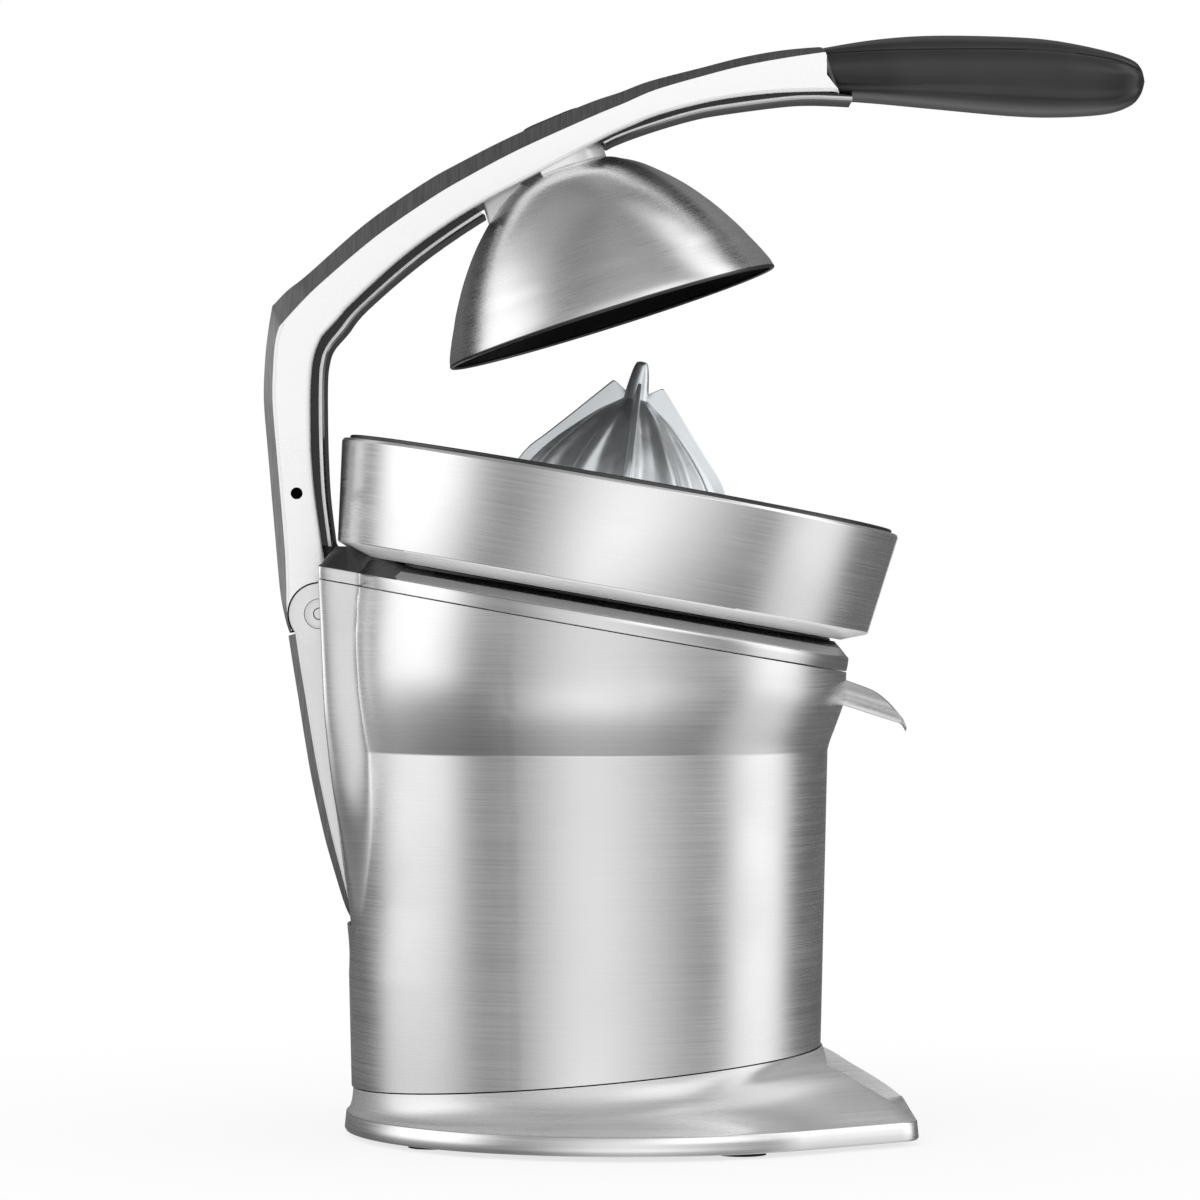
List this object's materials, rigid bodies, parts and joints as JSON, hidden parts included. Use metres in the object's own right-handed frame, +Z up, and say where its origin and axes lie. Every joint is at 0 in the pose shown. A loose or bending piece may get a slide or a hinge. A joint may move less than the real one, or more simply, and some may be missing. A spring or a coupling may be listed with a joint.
{
  "type": "electric citrus press",
  "caption": "Electric citrus press with a steel body, tilted juice bowl and reamer, and a lever arm that swings a pressing dome down over the fruit.",
  "frame": {"origin": "on the table plane under the middle axis of the body", "axes": "+X towards the spout, +Z up, so the side view looks along +Y"},
  "size_m": [0.3344, 0.214, 0.4159],
  "materials": {
    "brushed_steel": "brushed",
    "fine_steel": "fine brushed",
    "bright_steel": "turned",
    "satin_cast": "satin",
    "reamer_metal": "satin",
    "black_soft": "soft, slightly glossy",
    "black_plastic": "semi gloss",
    "dark_plastic": "matte",
    "dark_iron": "matte",
    "white_plastic": "matte",
    "brass": "turned",
    "black_rubber": "matte",
    "copper": "enamelled",
    "zinc_steel": "galvanised",
    "board_green": "satin",
    "plunger_red": "matte"
  },
  "bodies": {
    "base": {"base_foot": "satin_cast", "base_plate": "dark_plastic", "rubber_feet": "black_rubber", "base_screws": "bright_steel", "body_shell": "brushed_steel", "top_ring": "brushed_steel", "top_deck": "dark_plastic", "deck_screws": "bright_steel", "spindle_bush": "brass", "spindle_seal": "black_rubber", "idler_axle": "bright_steel", "gear_housing": "dark_plastic", "gear_cover": "dark_plastic", "motor_can": "zinc_steel", "motor_end_plate": "zinc_steel", "stator_stack": "dark_iron", "stator_windings": "copper", "motor_bearings": "brass", "juice_bowl": "brushed_steel", "strainer": "fine_steel", "spout": "brushed_steel", "pivot_frame": "dark_iron", "frame_screws": "bright_steel", "rocker_pin": "bright_steel", "rocker_spring": "bright_steel", "strut_lower_pin": "bright_steel", "micro_switch": "dark_plastic", "control_board": "board_green", "cord_grommet": "black_rubber"},
    "reamer_drive": {"drive_spindle": "bright_steel", "output_gear": "white_plastic", "reamer": "reamer_metal"},
    "idler": {"idler_gear": "white_plastic"},
    "rotor": {"motor_pinion": "brass", "rotor_core": "dark_iron", "rotor_shaft": "bright_steel"},
    "rocker": {"rocker": "brushed_steel", "knuckle_pin": "bright_steel"},
    "arm": {"arm": "satin_cast", "arm_liner": "black_plastic", "grip": "black_soft", "grip_screws": "bright_steel", "dome_pedestal": "satin_cast", "press_dome": "fine_steel", "dome_stud": "bright_steel", "strut_upper_pin": "black_plastic", "button_spring": "bright_steel"},
    "button": {"release_button": "black_plastic"},
    "strut": {"strut": "black_plastic"},
    "plunger": {"switch_plunger": "plunger_red"}
  },
  "joints": [
    {"name": "rocker_swing", "type": "hinge", "parent": "base", "child": "rocker", "pos_m": [-0.088, 0, 0.0952], "axis": [0, 1, 0], "range_deg": [-21.7, 0]},
    {"name": "arm_swing", "type": "hinge", "parent": "rocker", "child": "arm", "pos_m": [-0.1008, 0, 0.1964], "axis": [0, 1, 0], "range_deg": [0, 47.36]},
    {"name": "strut_swing", "type": "hinge", "parent": "base", "child": "strut", "pos_m": [-0.0816, 0, 0.1908], "axis": [0, 1, 0], "range_deg": [-20.2, 0]},
    {"name": "reamer_spin", "type": "hinge", "parent": "base", "child": "reamer_drive", "pos_m": [0.0125, 0, 0.2446], "axis": [0.1736, 0, 0.9848], "continuous": true},
    {"name": "idler_spin", "type": "hinge", "parent": "base", "child": "idler", "pos_m": [-0.00313, 0.036, 0.15597], "axis": [0.1736, 0, 0.9848], "continuous": true},
    {"name": "rotor_spin", "type": "hinge", "parent": "base", "child": "rotor", "pos_m": [-0.01007, 0, 0.11657], "axis": [0.1736, 0, 0.9848], "continuous": true},
    {"name": "button_press", "type": "slide", "parent": "arm", "child": "button", "axis": [0.3891, 0, -0.9212], "range_m": [0, 0.002], "stiffness_N_per_m": 400},
    {"name": "plunger_press", "type": "slide", "parent": "base", "child": "plunger", "axis": [1, 0, 0], "range_m": [0, 0.001], "stiffness_N_per_m": 200}
  ],
  "couplings": [
    {"joint": "rocker_swing", "follows": "arm_swing", "ratio": -0.4563},
    {"joint": "strut_swing", "follows": "arm_swing", "ratio": -0.4243},
    {"joint": "idler_spin", "follows": "reamer_spin", "ratio": -3},
    {"joint": "rotor_spin", "follows": "reamer_spin", "ratio": 13}
  ]
}
